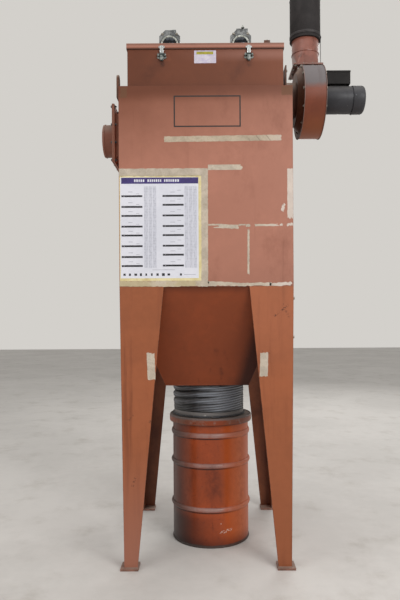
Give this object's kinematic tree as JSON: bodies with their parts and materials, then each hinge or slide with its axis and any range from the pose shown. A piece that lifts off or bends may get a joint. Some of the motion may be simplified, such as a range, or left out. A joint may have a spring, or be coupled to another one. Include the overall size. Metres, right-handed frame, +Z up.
{
  "type": "cartridge dust collector",
  "caption": "Sheet-steel dust collector cabinet on folded legs, with hopper, drum, flexible coupling, side fan with upward discharge and pulse valves on its lid.",
  "frame": {"origin": "on the floor under the middle of the cabinet, at the centre of the four anchor holes", "axes": "+Z up, -Y towards the front with the latches, +X towards the fan"},
  "size_m": [1.668, 1.09, 3.523],
  "materials": {
    "cabinet_paint": "satin, dusty, scuffed",
    "leg_paint": "satin, scuffed",
    "drum_paint": "satin, worn at the hoops",
    "dark_paint": "satin, dusty",
    "gasket_rubber": "matte",
    "zinc": "zinc plated, dull",
    "cast_alloy": "as cast",
    "coupling_rubber": "matte, ribbed",
    "sleeve_rubber": "matte",
    "motor_paint": "satin",
    "box_paint": "satin"
  },
  "bodies": {
    "root": {"front_panel": "cabinet_paint", "rear_panel": "cabinet_paint", "left_panel": "cabinet_paint", "right_panel": "cabinet_paint", "cabinet_top": "cabinet_paint", "plenum_front": "cabinet_paint", "plenum_rear": "cabinet_paint", "plenum_left": "cabinet_paint", "plenum_right": "cabinet_paint", "lid_gasket": "gasket_rubber", "lid": "cabinet_paint", "lifting_lugs": "dark_paint", "latch_left": "zinc", "latch_right": "zinc", "valve_body_left": "cast_alloy", "valve_body_right": "cast_alloy", "valve_cover_left": "cast_alloy", "valve_cover_right": "cast_alloy", "hopper_front": "cabinet_paint", "hopper_rear": "cabinet_paint", "hopper_left": "cabinet_paint", "hopper_right": "cabinet_paint", "hopper_outlet": "cabinet_paint", "flex_coupling": "coupling_rubber", "coupling_clamps": "zinc", "drum_lid": "drum_paint", "drum_ring": "drum_paint", "drum_body": "drum_paint", "leg_front_left": "leg_paint", "leg_front_right": "leg_paint", "leg_rear_left": "leg_paint", "leg_rear_right": "leg_paint", "foot_plates": "leg_paint", "inlet_neck": "dark_paint", "inlet_flange": "dark_paint", "inlet_spigot": "dark_paint", "fan_mount_plate": "dark_paint", "fan_inlet_duct": "dark_paint", "fan_dish": "dark_paint", "fan_side_inner": "dark_paint", "fan_wrap": "cabinet_paint", "fan_side_outer": "dark_paint", "throat_flange": "dark_paint", "discharge_transition": "cabinet_paint", "discharge_duct": "cabinet_paint", "outlet_sleeve": "sleeve_rubber", "sleeve_strap": "sleeve_rubber", "motor_frame": "motor_paint", "motor_cowl": "motor_paint", "motor_terminal_box": "box_paint"}
  },
  "joints": []
}
